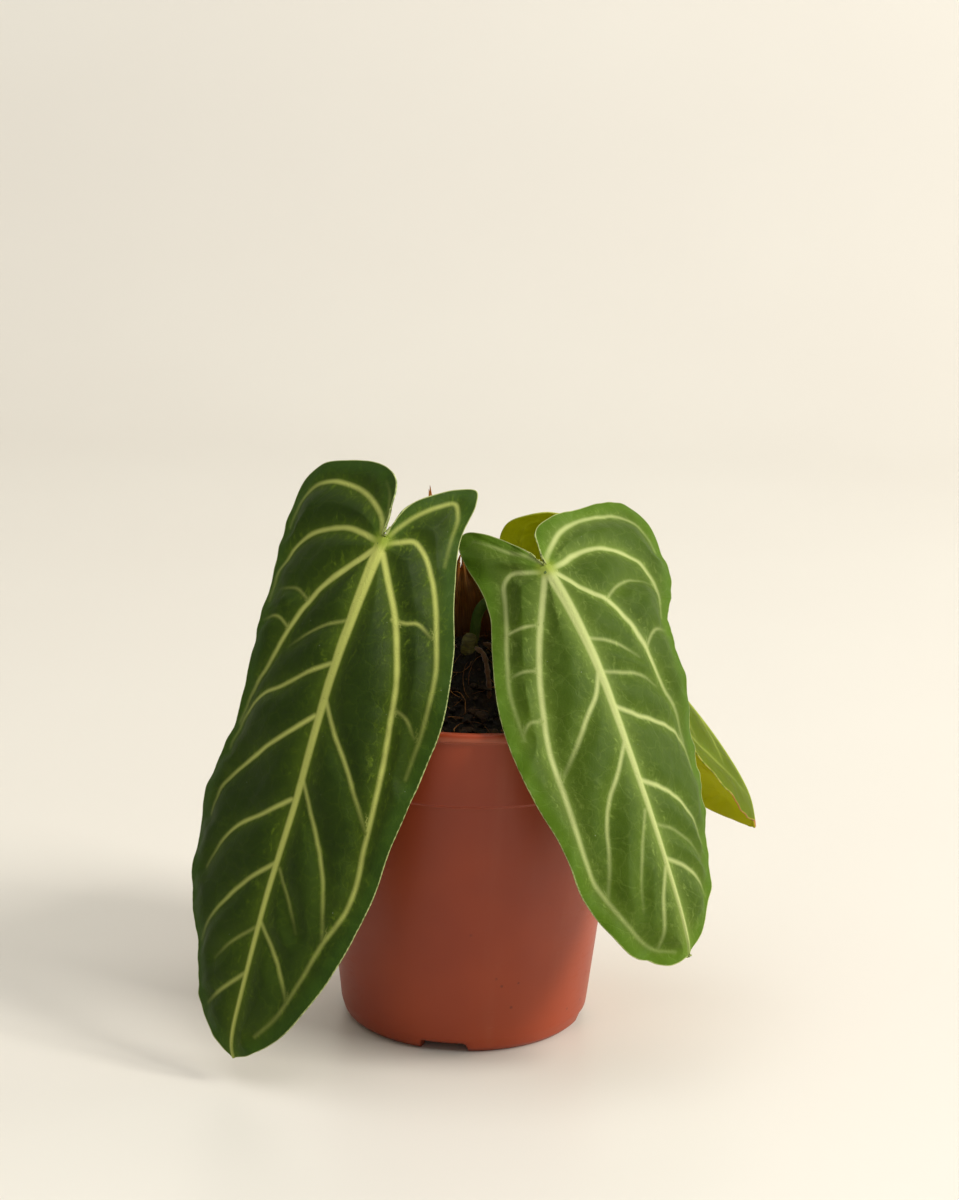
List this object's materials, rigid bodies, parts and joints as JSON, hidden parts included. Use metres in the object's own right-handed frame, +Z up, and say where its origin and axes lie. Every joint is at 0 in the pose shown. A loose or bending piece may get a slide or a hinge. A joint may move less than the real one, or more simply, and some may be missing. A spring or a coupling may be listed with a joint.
{
  "type": "potted anthurium villenaorum",
  "caption": "Young velvet-leaved anthurium with long drooping heart-shaped leaves in a terracotta-coloured plastic nursery pot.",
  "frame": {"origin": "on the floor plane, under the middle of the whole plant's bounding box", "axes": "+Z up through the pot, -Y towards the front where the two large leaves hang over the pot, +X to the right"},
  "size_m": [0.2048, 0.1454, 0.2073],
  "materials": {
    "pot_plastic": "satin",
    "potting_mix": "rough",
    "rhizome": "rough",
    "petiole": "satin",
    "blade": "velvet",
    "sheath": "matte",
    "root": "matte"
  },
  "bodies": {
    "root": {"pot": "pot_plastic", "potting_mix": "potting_mix", "rhizome": "rhizome", "petiole_left": "petiole", "petiole_right": "petiole", "petiole_rear": "petiole", "leaf_left": "blade", "leaf_right": "blade", "leaf_rear": "blade", "cataphyll_front": "sheath", "cataphyll_left": "sheath", "cataphyll_rear": "sheath", "aerial_root_front": "root", "aerial_root_right": "root", "aerial_root_left": "root"}
  },
  "joints": []
}
